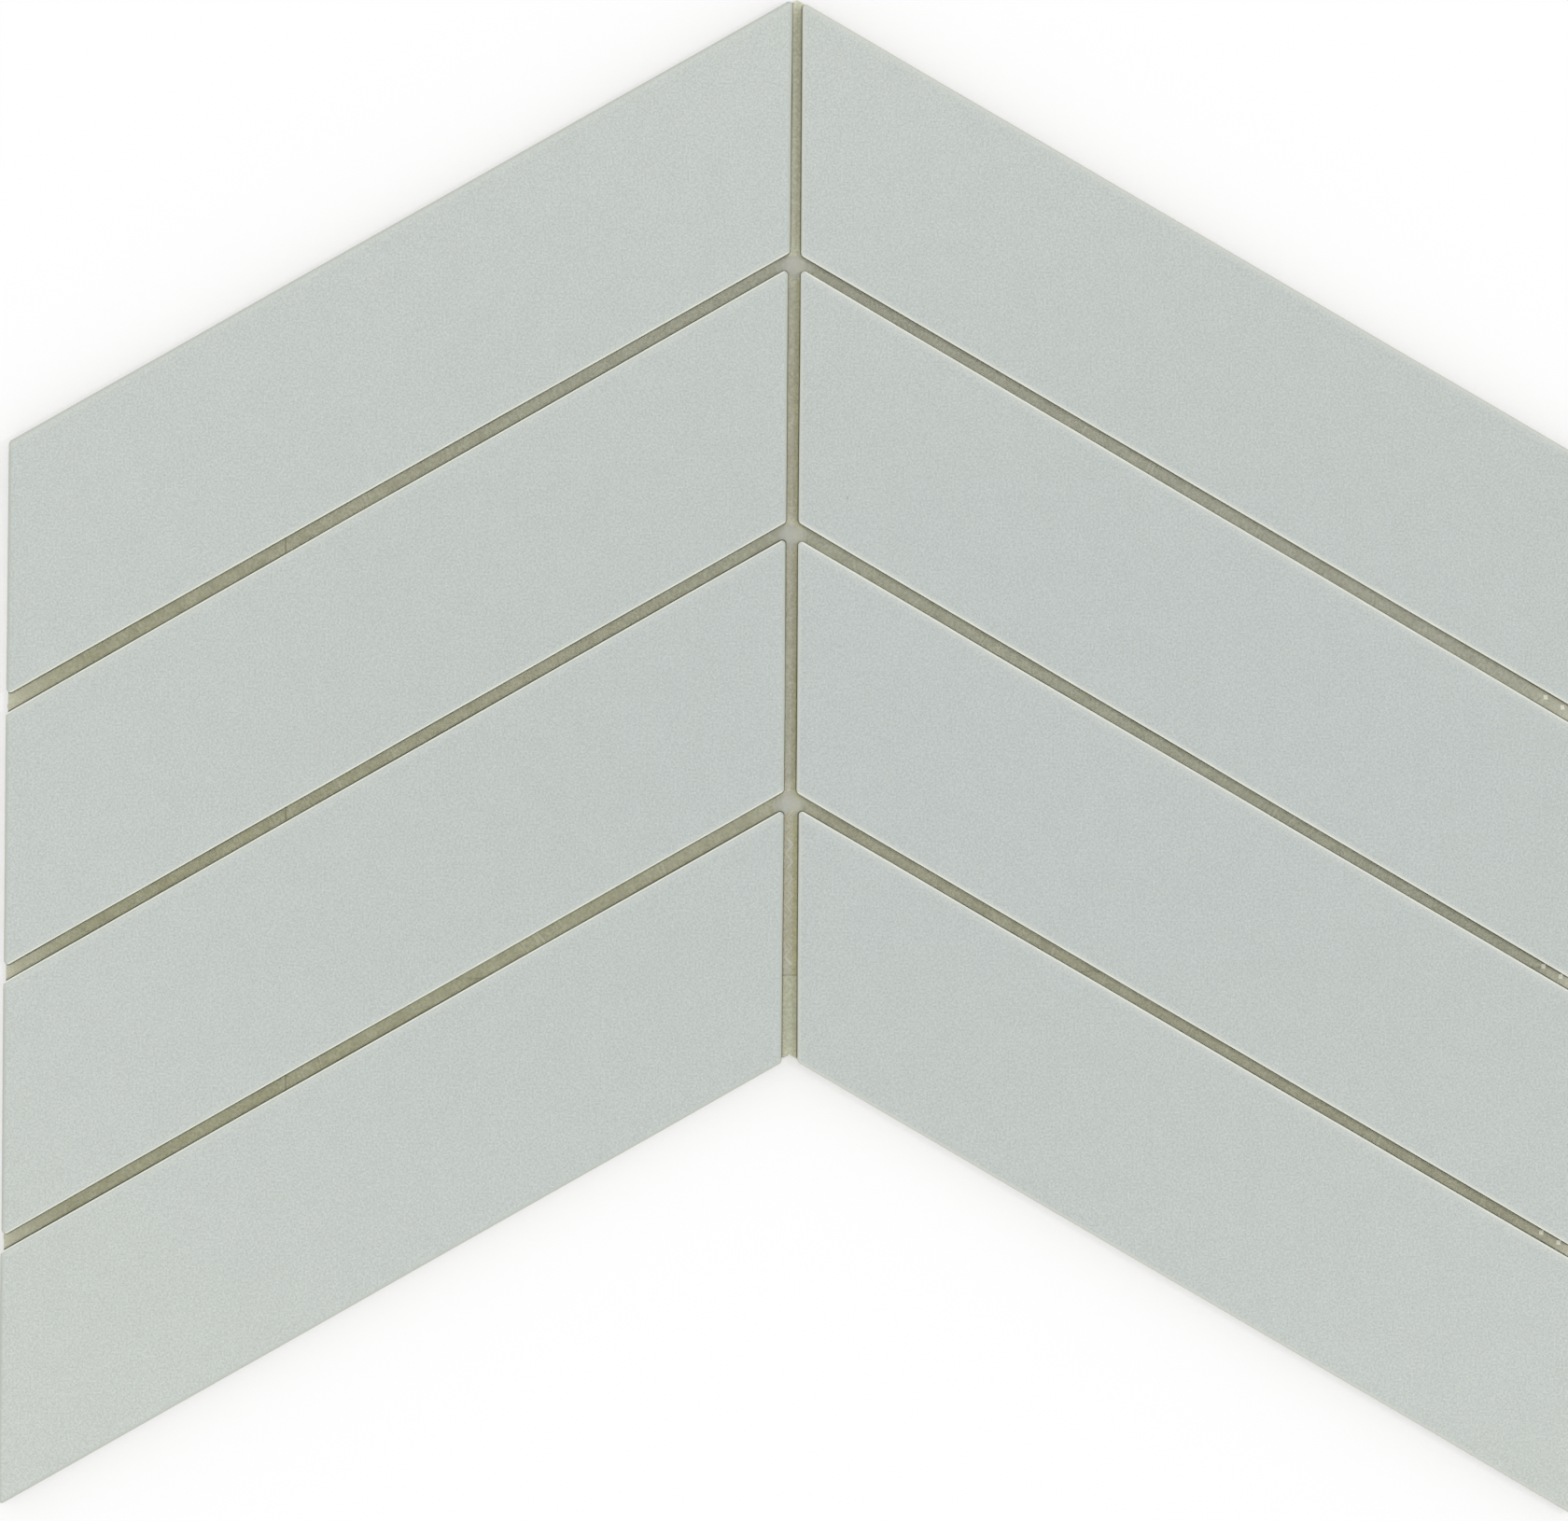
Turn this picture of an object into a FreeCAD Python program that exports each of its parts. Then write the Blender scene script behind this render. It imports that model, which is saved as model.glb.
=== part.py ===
"""A chevron mosaic sheet: eight glazed parallelogram chips bonded face up to one mesh backing.

The sheet lies flat. X runs across it, Y points to the apex of the chevron and Z is up, out of the
glazed faces. The origin is in the middle of the sheet's box, at the back of the backing.
All lengths are in millimetres and all angles in degrees.
"""
import FreeCAD, Part
import math
import os

# The chip: a pressed and glazed parallelogram
chip_edge = 177.8        # long slanted edge, corner to corner
chip_width = 43.4        # across the strip, square to the long edges
chip_thickness = 6.0
chevron_angle = 30.0     # slope of the long edges below the X axis
corner_radius = 1.1      # blunt corners, seen in plan
tip_radius = 0.75        # sharp corners, seen in plan
face_round = 0.5         # rolled edge round the glazed face
back_chamfer = 0.4       # eased edge round the back

# The keyed back: shallow grooves along the chip, which give the adhesive its grip
key_width = 3.5          # mouth of a groove
key_land = 3.5           # flat between two grooves
key_margin = 4.0         # least flat between the outer grooves and the long edges
key_depth = 0.5
key_draft = 0.3          # how far each groove wall leans in

# The layout
rows = 4                 # chips in each of the two columns
joint_width = 2.6        # open joint round every chip
lay_slip = 0.5           # how far a chip slips off the even pattern when it is laid
lay_turn = 0.2           # how far it turns

# The backing: a glue-soaked mesh, with the glue standing up in the joints
backing_thickness = 0.8
backing_inset = 0.5      # how far the backing is cut back from the outline of the chips
glue_rise = 2.0          # height of the glue in the joints above the backs of the chips

# How each chip was laid, from the apex down, as shares of the slip along X and Y and of the turn
left_lay = [(0.65, 0.95, -0.5), (0.1, 0.2, 0.35), (0.05, 0.1, 0.35), (-0.25, -0.6, -0.35)]
right_lay = [(-0.2, -0.1, 0.6), (-0.55, 0.0, -0.6), (-0.3, 0.05, 0.45), (0.9, 0.05, 0.95)]

# Sizes that follow from these
cosine = math.cos(math.radians(chevron_angle))
slope = math.tan(math.radians(chevron_angle))
run = chip_edge * cosine                          # a chip's extent along X
drop = run * slope                                # what a long edge falls over that extent
upright = chip_width / cosine                     # a chip's short edge, which is parallel to Y
pitch = (chip_width + joint_width) / cosine       # from one chip to the next along Y
half_width = joint_width / 2 + run                # from the spine joint's middle to a side
column = rows * pitch - joint_width / cosine      # from the apex down to the notch, along the spine
band = joint_width / 2 + corner_radius + 2 * lay_slip   # reaches round the corners of slipped chips
up = FreeCAD.Vector(0, 0, 1)
left = -1
right = 1
same = 0.001                                      # heights closer than this are one height


def prism(points, bottom, height):
    """An upright prism on a closed outline of (x, y) points."""
    corners = [FreeCAD.Vector(x, y, bottom) for x, y in points]
    outline = Part.makePolygon(corners + corners[:1])
    return Part.Face(outline).extrude(up * height)


def edges_at(shape, height):
    """The edges of a shape that lie flat at one height."""
    found = []
    for edge in shape.Edges:
        box = edge.BoundBox
        if abs(box.ZMin - height) < same and abs(box.ZMax - height) < same:
            found.append(edge)
    return found


def upright_edges(shape):
    """The edges of a prism from its bottom to its top, with those furthest from the X axis last."""
    height = shape.BoundBox.ZLength
    found = [edge for edge in shape.Edges if abs(edge.BoundBox.ZLength - height) < same]
    return sorted(found, key=lambda edge: abs(edge.CenterOfMass.y))


def chip_blank(side):
    """A chip with a plain back, centred on the Z axis, with its back at height zero."""
    inner, outer = -side * run / 2, side * run / 2
    outline = [
        (inner, drop / 2 + upright / 2),
        (inner, drop / 2 - upright / 2),
        (outer, -drop / 2 - upright / 2),
        (outer, -drop / 2 + upright / 2),
    ]
    blank = prism(outline, 0, chip_thickness)
    blank = blank.makeFillet(tip_radius, upright_edges(blank)[-2:])
    blank = blank.makeFillet(corner_radius, upright_edges(blank)[:2])
    blank = blank.makeChamfer(back_chamfer, edges_at(blank, 0))
    return blank.makeFillet(face_round, edges_at(blank, chip_thickness))


def back_keys(side):
    """The grooves of a chip's back, as solids that run out at both short edges."""
    spacing = key_width + key_land
    count = int((chip_width - 2 * key_margin + key_land) // spacing)
    length = chip_edge + chip_width
    floor = key_width / 2 - key_draft
    grooves = []
    for number in range(count):
        middle = (number - (count - 1) / 2) * spacing
        section = [
            FreeCAD.Vector(-length / 2, middle - key_width / 2, 0),
            FreeCAD.Vector(-length / 2, middle + key_width / 2, 0),
            FreeCAD.Vector(-length / 2, middle + floor, key_depth),
            FreeCAD.Vector(-length / 2, middle - floor, key_depth),
        ]
        face = Part.Face(Part.makePolygon(section + section[:1]))
        groove = face.extrude(FreeCAD.Vector(length, 0, 0))
        groove.rotate(FreeCAD.Vector(), up, -side * chevron_angle)
        grooves.append(groove)
    return grooves


def lay(shape, side, row, shares):
    """Puts a chip in its column and row on the backing, slipped and turned as it was laid."""
    slip_x, slip_y, turn = shares
    x = side * (joint_width + run) / 2 + slip_x * lay_slip
    y = -joint_width / 2 * slope - drop / 2 - upright / 2 - row * pitch + slip_y * lay_slip
    laid = shape.copy()
    laid.rotate(FreeCAD.Vector(), up, turn * lay_turn)
    laid.translate(FreeCAD.Vector(x, y, backing_thickness))
    return laid


def chevron(top, bottom, reach):
    """The outline between two points of the spine, falling to both sides as far as a reach along X."""
    fall = reach * slope
    return [(0, top), (reach, top - fall), (reach, bottom - fall),
            (0, bottom), (-reach, bottom - fall), (-reach, top - fall)]


def mesh_backing(blanks):
    """The backing sheet with the glue that stands up in the joints, shaped by the chips beside it."""
    inset_along_y = backing_inset / cosine
    outline = chevron(-inset_along_y, inset_along_y - column, half_width - backing_inset)
    sheet = prism(outline, 0, backing_thickness)
    layer = prism(outline, backing_thickness, glue_rise)
    spine = [(-band, 0), (band, 0), (band, -column), (-band, -column)]
    bands = [prism(spine, backing_thickness, glue_rise)]
    for row in range(1, rows):
        middle = joint_width / cosine / 2 - row * pitch
        joint = chevron(middle + band / cosine, middle - band / cosine, half_width)
        bands.append(prism(joint, backing_thickness, glue_rise))
    glue = bands[0].multiFuse(bands[1:]).common(layer).cut(Part.makeCompound(blanks))
    return sheet.fuse(glue).removeSplitter().Solids[0]


def build():
    """Every piece by its name, in the sheet's own frame."""
    pieces, blanks = {}, []
    for name, side, shares in (("left_tile", left, left_lay), ("right_tile", right, right_lay)):
        blank = chip_blank(side)
        chip = blank.cut(Part.makeCompound(back_keys(side)))
        for row in range(rows):
            share = shares[row % len(shares)]
            pieces["%s_%d" % (name, row + 1)] = lay(chip, side, row, share)
            blanks.append(lay(blank, side, row, share))
    pieces["mesh_backing"] = mesh_backing(blanks)
    middle = Part.makeCompound(list(pieces.values())).optimalBoundingBox().Center
    for piece in pieces.values():
        piece.translate(FreeCAD.Vector(-middle.x, -middle.y, 0))
    return pieces


os.makedirs("parts", exist_ok=True)
for name, piece in build().items():
    piece.exportStep("parts/%s.step" % name)
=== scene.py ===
"""Looks of a chevron mosaic sheet: glazed chips, the glue in their joints and the net behind them.

Lengths are in metres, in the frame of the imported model: X runs across the sheet, Y points to the
apex of the chevron and Z is up, out of the glazed faces.
"""

import math

import bmesh
import bpy
import numpy as np
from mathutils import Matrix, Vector, geometry, kdtree, noise


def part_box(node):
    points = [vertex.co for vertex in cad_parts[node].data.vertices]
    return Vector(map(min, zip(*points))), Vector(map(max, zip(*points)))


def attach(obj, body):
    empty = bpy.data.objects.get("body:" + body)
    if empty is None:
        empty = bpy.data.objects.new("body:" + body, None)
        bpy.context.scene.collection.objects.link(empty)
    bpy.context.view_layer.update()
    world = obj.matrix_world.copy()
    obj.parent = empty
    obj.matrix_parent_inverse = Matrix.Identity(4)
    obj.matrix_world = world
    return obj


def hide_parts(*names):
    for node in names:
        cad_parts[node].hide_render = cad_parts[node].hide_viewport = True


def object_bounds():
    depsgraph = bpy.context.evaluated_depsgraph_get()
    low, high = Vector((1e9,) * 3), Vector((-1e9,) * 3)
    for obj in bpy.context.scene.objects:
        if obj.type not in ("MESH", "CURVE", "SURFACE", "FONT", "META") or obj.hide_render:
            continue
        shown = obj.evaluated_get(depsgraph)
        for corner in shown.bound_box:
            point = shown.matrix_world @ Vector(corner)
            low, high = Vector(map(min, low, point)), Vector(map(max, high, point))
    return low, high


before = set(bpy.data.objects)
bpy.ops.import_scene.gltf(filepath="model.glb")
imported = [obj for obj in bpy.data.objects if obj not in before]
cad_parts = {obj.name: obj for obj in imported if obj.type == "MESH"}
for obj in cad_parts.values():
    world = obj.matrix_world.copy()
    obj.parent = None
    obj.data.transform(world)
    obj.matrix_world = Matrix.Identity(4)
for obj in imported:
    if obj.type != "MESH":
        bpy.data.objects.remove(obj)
cad_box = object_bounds()


def linear(red, green, blue):
    """A display colour of 0 to 255 as linear light."""
    def one(value):
        share = value / 255
        return share / 12.92 if share <= 0.04045 else ((share + 0.055) / 1.055) ** 2.4
    return (one(red), one(green), one(blue), 1.0)


MM = 0.001
WELD = 0.002 * MM                     # vertices closer than this are one vertex

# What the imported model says
CHIPS = sorted(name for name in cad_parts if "tile" in name)
FACE = cad_box[1].z                   # height of the glazed faces
CHIP_BACK = min(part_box(name)[0].z for name in CHIPS)
GLUE_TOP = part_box("mesh_backing")[1].z
ROW_TOPS = sorted({name[-1]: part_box(name)[1].y for name in CHIPS}.values(), reverse=True)
SLOPE = math.radians(30)              # of the long edges
COSINE, SINE = math.cos(SLOPE), math.sin(SLOPE)

# A chip's edges: what the kiln does to a pressed blank
CUT_STEP = 5 * MM                     # spacing of the cuts that let an edge wander
RIM_CUTS = [0.15 * MM, 0.3 * MM, 0.5 * MM, 0.9 * MM, 1.6 * MM, 2.6 * MM]
LEVEL = math.radians(0.5)             # faces that turn less than this are one face
WANDER = 0.07 * MM                    # how far an edge strays from a straight line
WANDER_REACH = 3 * MM                 # how far into the face that shows
WANDER_SIZE = 28 * MM                 # distance from one wave of it to the next
WANDER_SEEDS = 10                     # step of its noise's seed from one chip to the next
CUSHION = 0.05 * MM                   # how much the face falls towards its edges
CUSHION_REACH = 1.6 * MM
FACE_ROUND = 0.5 * MM                 # depth of the rolled edge below the face
OUTER_RIM = 0.35 * MM                 # how much less the pale line and the painted highlight show along the outside of the sheet
CHIP_SHARP = math.radians(35)         # edges that turn more than this stay sharp

# The glue in the joints
GLUE_STEP = 0.32 * MM                 # mesh size of its skin
HEM = 0.1 * MM                        # the row of that mesh along the chips
CREVICE = 0.3 * MM                    # how deep the glue draws down where it meets a chip
CREVICE_WIDTH = 0.06 * MM
LUMPS = 0.10 * MM                     # unevenness of the skin
LUMP_SIZE = 6 * MM
POOL_RISE = 0.3 * MM                  # smooth pools where the joints meet
POOL_REACH = (3.0 * MM, 2.0 * MM, 2.5 * MM)     # to the sides, up and down
POOL_SHIFT = (-0.6 * MM, 1.4 * MM)    # from the tips of the row below
POOL_END = 1.25                       # where a pool is gone, in reaches
POOL_FADE = 0.6                       # how many reaches it takes to go
POOL_RAGGED = 0.25                    # how uneven its outline is
POOL_RAGGED_SIZE = 1.8 * MM
STREAK_PITCH = 3.9 * MM               # fine strings of glue that cross the joints
STREAK_SWAY = 1.6 * MM
STREAK_RISE = 0.06 * MM
STREAK_WIDTH = 0.25 * MM
SPINE_HALF = 1.7 * MM                 # half the width that counts as the spine joint
GLUE_SHARP = math.radians(50)
LUMP_SEED, POOL_SEED, STREAK_SEED, FRAY_SEED = 41.0, 53.0, 61.0, 71.0

# How much painted shade darkens the glue along the lower sides, the ends and the upper sides of a column's
# chips, as shares
CREVICE_SHADE_SHARES = {"left": (0.35, 0.05, 0.85), "right": (0.4, 0.6, 0.35)}

# The net: flat wefts along X, held by pairs of warps that twist along Y
WARP_PITCH = 3.4 * MM
WARP_SHIFT = -0.85 * MM               # of the middle warp from the middle of the sheet
WEFT_PITCH = 4.2 * MM
WEFT_WIDTH = 0.7 * MM
WEFT_THICKNESS = 0.2 * MM
WARP_WIDTH = 0.36 * MM
WARP_THICKNESS = 0.18 * MM
TWIST = 0.3 * MM                      # half the distance between the two warps of a pair
WARP_SWING = 0.6 * WEFT_THICKNESS     # how far the warps pass over and under the wefts
YARN_SIDES = 6
YARN_SHARP = math.radians(70)
FRAY = 0.12 * MM                      # how much the lengths differ by which cut ends stand out
FRAY_MEAN = 1.5                       # their mean, in shares of that
FRAY_LEAST = 0.02 * MM
FRAY_GAP = 0.4 * MM                   # from the chips, where they stand out freely
FRAY_CLEAR = 0.36 * MM                # what they keep from the sides of the sheet's box
NET_HEIGHT = 0.3 * MM                 # middle of the net above the back of the sheet

# The twists and knots of the net that lie bare on the glue
BARE_TWISTS = (                       # the top and bottom of each, and how deep it is sunk
    (-11 * MM, -42 * MM, 0.0),
    (77 * MM, 50 * MM, 0.05 * MM),
)
BARE_SWING = 0.7 * MM
BARE_SHIFT = -0.5 * MM
BARE_WIDTH = 0.7 * MM
BARE_STEP = 0.25                      # of a turn, from one point of a twist to the next
KNOTTED_WARPS = (44, 45)              # the warps, counted from the middle, whose knots show at +X
KNOT_LENGTH = 0.9 * MM
KNOT_STOPS = (-0.5, -0.2, 0.2, 0.5)   # of that length
KNOT_WIDTH = 0.85 * MM
KNOT_LIFT = 0.55 * MM                 # of the knots from the middle of a joint towards +Y

# The adhesive film
FILM_STEP = 1.0 * MM
FILM_CLEAR = 0.6 * FILM_STEP          # from its outline to the first points inside
FILM_BACK = 0.34 * MM                 # mean height of its back
FILM_SAG = 0.1 * MM                   # how far that sinks between the threads and stands out over them
FILM_GAP = 1.0 * MM                   # what its material takes as the distance to a chip

# Looks. A noise is given by its size, detail and seed. A fade is given by the two values between
# which it runs, and by its levels there, which are 0 and 1 if they aren't given.
EVEN = (0.3, 0.7)                     # most of a noise lies between these

# The glaze
GLAZE_TONES = (linear(188, 194.2, 190.8), linear(200, 205.5, 198.8))
# The slow drift of the glaze's tone from its middle is partly its own tone and partly painted shade of
# uneven light
GLAZE_MIDDLE = (60 * MM, 5 * MM, 0)   # where it is darkest
GLAZE_STRETCH = (0.85, 1.5, 0)        # how fast it pales from there along X and Y
GLAZE_TONE_AND_SHADE_DRIFT = (30 * MM, 370 * MM)
GLAZE_CLOUD, CLOUD_FADE = (5 * MM, 3, 0), (*EVEN, 0.99, 1.01)
GLAZE_GRAIN, GRAIN_FADE = (0.38 * MM, 3, 7), (0.25, 0.75, 0.86, 1.14)
GLAZE_IOR = 1.5
GLAZE_BUMP = (0.5, 0.02 * MM)         # strength and depth
POLISH, POLISH_FADE = (1.2 * MM, 2, 13), (*EVEN, 0.36, 0.46)
RIPPLE, RIPPLE_SHARE = (7 * MM, 1, 17), 4.0
PITS, PITS_SHARE = (0.5 * MM, 2, 19), 0.35
FLECK_PITCH = 11 * MM
FLECK_SIZE = (0.02, 0.035, 1, 0)      # in shares of that pitch
FLECK_CHANCE = (0.9, 0.96, 0, 0.5)
FLECK_TONE = linear(120, 124, 116)

# The glaze's edges, where it thins and where highlights are painted on it, and the biscuit below it
WAVER, WAVER_WIDTH = (3 * MM, 2, 3), 0.2 * MM
END_TONES = (linear(184, 191, 178), linear(207, 209, 197))      # of the left and the right column
END_FADE = (0.4 * MM, 0.95 * MM, 0.7, 0)
HIGHLIGHT_TONE = linear(214, 217, 210)     # a painted highlight further in along the long edges, widest on the upper ones
CREST_HIGHLIGHT = (0.8 * MM, 1.9 * MM, 0.24, 0)
FLANK_HIGHLIGHT = (0.55 * MM, 1.25 * MM, 0.24, 0)
RIM_AND_HIGHLIGHT_TONE = linear(238, 242, 233)      # a pale line on the long edges, partly the glaze thinning to the cream body and partly painted highlight
RIM_HIGHLIGHT_FADE = (0.24 * MM, 0.52 * MM, 0.95, 0)
GLAZE_LINE = FACE - 2.4 * MM          # where the glaze ends on the sides, about
RAGGED, RAGGED_HEIGHT = (4 * MM, 3, 11), 1.2 * MM
BARE_FADE = (GLAZE_LINE + 0.5 * MM, GLAZE_LINE + 0.7 * MM, 1, 0)
BISCUIT_TONES = (linear(226, 219, 203), linear(241, 237, 226))
SPECKLE, SPECKLE_FADE = (0.3 * MM, 4, 5), (0.3, 0.75)
BISCUIT_ROUGH = 0.9

# The glue
FILM_TONES = (linear(174, 173, 146), linear(186, 186, 161))
FILM_CLOUD = (4 * MM, 3, 0)
FILM_FAR = linear(186, 188, 184)      # towards the apex and +X, partly painted uneven light
FILM_LEAN = 0.6                       # how much a step along X counts, against one along Y
FILM_TONE_AND_SHADE_DRIFT = (-110 * MM, 110 * MM, 0, 0.5)
FILM_GRAIN, FILM_GRAIN_FADE = (0.5 * MM, 3, 5), (0.25, 0.75, 0.84, 1.16)
FILM_SHEEN, SHEEN_FADE = (2 * MM, 2, 9), (*EVEN, 0.42, 0.6)
FILM_RELIEF, FILM_BUMP = (0.6 * MM, 3, 15), (0.2, 0.05 * MM)
FILM_IOR = 1.46
SPINE_TONES_AND_SHADE = (linear(206, 205, 188), linear(203, 202, 164))    # its left half, and its right half tinted olive as painted shade
SPINE_SHADE_ACROSS = (-0.4 * MM, 0.8 * MM)
SPINE_FADE = (1.3 * MM, 2.2 * MM, 1, 0)
SPINE_BELOW, BELOW_FADE = linear(212, 214, 191), (0, -0.3 * MM, 0, 0.8)      # below the lap
SPINE_APEX, APEX_FADE = linear(228, 230, 210), (92 * MM, 102 * MM, 0, 0.72)
SIDE_TONE, SIDE_FADE = linear(214, 213, 196), (139 * MM, 155 * MM, 0, 0.48)  # at the joints' outer ends

# What shows on the glue: strings, pools with painted light, laps of the net, and painted shade in the
# crevices along the chips
STRING_TONE = linear(208, 207, 190)
STRING_LINES = ((0.5, 0.12, 1.0), (0.3, 0.08, 0.8))   # place and width, in pitches, and strength
STRING_PATCHES, PATCH_FADE = (8 * MM, 2, 21), (0.45, 0.68, 0.06, 0.45)
# The pools' pale grey is partly the pooled glue and partly painted light and reflection; their brims carry
# a painted highlight
POOL_LIT_TONE, POOL_SHARE = linear(190, 191, 184), 0.75
BRIM_HIGHLIGHT_TONE = linear(214, 213, 200)
BRIM_HIGHLIGHT_LINE = (0.4, 0.5)                # the share of a pool where the painted highlight on its brim lies, and that highlight's width
LAP_X = (-100.1 * MM, -0.008)         # a lap that runs along Y: its X at the origin, its lean
LAP_Y = (-43.6 * MM, 0.018)           # and one that runs along X, from the first towards +X
LAP_X_WIDTH, LAP_Y_WIDTH = 0.45 * MM, 0.5 * MM
LAP_TONE, LAP_SHARE = linear(112, 110, 88), 0.5
LAP_TEAR, TEAR_WIDTH = (1.5 * MM, 3, 27), 1.4 * MM
TEAR_FADE = (2 * MM, 4 * MM)          # the tear starts beside the spine joint
LAP_BREAKS, BREAK_FADE = (2 * MM, 2, 33), (0.35, 0.6, 0.35, 1)
# Painted shade in the crevice where the glue meets a chip
CREVICE_SHADE_TONE, CREVICE_SHADE_FADE = linear(104, 102, 82), (0.12 * MM, 0.34 * MM, 1, 0)
CREVICE_SHADE_SIDES = (137 * MM, 149 * MM, 0, 0.8)      # the least painted crevice shade at the joints' outer ends

# The yarn
FIBRES = (0.12 * MM, 3, 0)
FIBRE_ROUGH = (0, 1, 0.45, 0.65)
YARN_BUMP = (0.4, 0.03 * MM)
SOAKED, SOAKED_FADE = (9 * MM, 2, 4), (0.35, 0.65)
DRY_TONES = (linear(214, 210, 194), linear(240, 238, 228))
WET_TONES = (linear(190, 184, 156), linear(212, 207, 182))
# Painted shade along the sides of the flat yarns
YARN_SIDE_SHADE, SIDE_SHADE_FADE = linear(140, 137, 112), (0.7, 1, 0, 0.6)
KNOT_TONE, KNOT_FADE = linear(250, 250, 242), (0.1, 0.4, 0.9, 0)

# The camera, straight above, as the sheet lay on the scanner
FRAME_WIDTH = 309.65 * MM             # what the image's width covers, in the plane of the faces
FRAME_MIDDLE = (-1.625 * MM, -1.19 * MM)
FRAME_TURN = math.radians(0.448)
SENSOR = 36.0
LENS = 800.0

# The light
WHITE = (1, 1, 1, 1)
SKY = 0.92
KEY = 0.08                            # share of the light on the faces that the lamp gives
KEY_TILT = math.radians(17.5)
KEY_SIDE = math.radians(6)            # how far it stands from +X towards +Y
KEY_SPREAD = math.radians(5)
FLOOR_GAP = 0.2 * MM
FLOOR_SIZE = 6.0
FLOOR_TINT = 0.55                     # how much of the floor's white is lit, and so takes shadow


# Node trees

def set_inputs(tree, node, inputs):
    """Sets or links inputs of a node: each takes a value or another node's output."""
    for key, value in inputs.items():
        if isinstance(value, bpy.types.NodeSocket):
            tree.links.new(value, node.inputs[key])
        else:
            node.inputs[key].default_value = value


def add(tree, kind, inputs=(), **settings):
    """Adds a node with its inputs and settings."""
    node = tree.nodes.new("ShaderNode" + kind)
    for key, value in settings.items():
        setattr(node, key, value)
    set_inputs(tree, node, dict(inputs))
    return node


def calc(tree, operation, first, second=0.0, third=0.0):
    """The result of a sum on up to three values."""
    return add(tree, "Math", {0: first, 1: second, 2: third}, operation=operation).outputs[0]


def vector(tree, operation, first, second=(0, 0, 0)):
    """The node of a sum on two vectors."""
    return add(tree, "VectorMath", {0: first, 1: second}, operation=operation)


def blend(tree, share, first, second, how="MIX"):
    """A colour between two others."""
    node = add(tree, "Mix", {0: share, 6: first, 7: second}, data_type="RGBA", blend_type=how)
    return node.outputs[2]


def fade(tree, value, low, high, at_low=0.0, at_high=1.0):
    """A value eased from one level to another while its driver goes from low to high."""
    ends = {"Value": value, "From Min": low, "From Max": high, "To Min": at_low, "To Max": at_high}
    return add(tree, "MapRange", ends, interpolation_type="SMOOTHSTEP").outputs[0]


def grain(tree, place, size, detail, seed):
    """Noise about one half, with features of a given size."""
    ends = {"Vector": place, "W": seed, "Scale": 1 / size, "Detail": detail}
    return add(tree, "TexNoise", ends, noise_dimensions="4D").outputs["Fac"]


def mottle(tree, place, pattern, eased):
    """A noise that is faded from one level to another."""
    return fade(tree, grain(tree, place, *pattern), *eased)


def line(tree, position, width):
    """A thin soft line where a position is nothing."""
    return fade(tree, calc(tree, "ABSOLUTE", position), width / 4, width / 2, 1, 0)


def off_line(tree, position, other, at_origin, lean):
    """How far a position lies from a line that leans a little with the other one."""
    return calc(tree, "SUBTRACT", position, calc(tree, "MULTIPLY_ADD", other, lean, at_origin))


def attributes(tree, *names):
    """The values per vertex that a mesh keeps under these names."""
    return [add(tree, "Attribute", attribute_name=name).outputs["Fac"] for name in names]


def new_material(name):
    """A material with one Principled shader, its tree and that shader's node."""
    material = bpy.data.materials.new(name)
    material.use_nodes = True
    tree = material.node_tree
    return material, tree, tree.nodes["Principled BSDF"]


def dress(tree, surface, tone, rough, relief, strength, depth):
    """Gives a shader its colour, its roughness and a fine relief."""
    bump = add(tree, "Bump", {"Height": relief, "Strength": strength, "Distance": depth})
    set_inputs(tree, surface, {"Base Color": tone, "Roughness": rough, "Normal": bump.outputs["Normal"]})


# Materials

def glaze_body(tree, place):
    """The glaze on the open face: its slow drift of tone, partly painted uneven light, its cloud and
    grain, and a few dark flecks.
    """
    away = vector(tree, "SUBTRACT", place, GLAZE_MIDDLE).outputs[0]
    away = vector(tree, "MULTIPLY", away, GLAZE_STRETCH).outputs[0]
    away = vector(tree, "LENGTH", away).outputs["Value"]
    # Slow drift of tone, partly painted uneven light
    tone = blend(tree, fade(tree, away, *GLAZE_TONE_AND_SHADE_DRIFT), *GLAZE_TONES)
    cloud = mottle(tree, place, GLAZE_CLOUD, CLOUD_FADE)
    fine = mottle(tree, place, GLAZE_GRAIN, GRAIN_FADE)
    tone = blend(tree, 1.0, tone, calc(tree, "MULTIPLY", cloud, fine), "MULTIPLY")

    fleck = add(tree, "TexVoronoi", {"Vector": place, "Scale": 1 / FLECK_PITCH})
    chance = add(tree, "SeparateColor", {"Color": fleck.outputs["Color"]}).outputs[0]
    small = fade(tree, fleck.outputs["Distance"], *FLECK_SIZE)
    shown = calc(tree, "MULTIPLY", small, fade(tree, chance, *FLECK_CHANCE))
    return blend(tree, shown, tone, FLECK_TONE)


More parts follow.
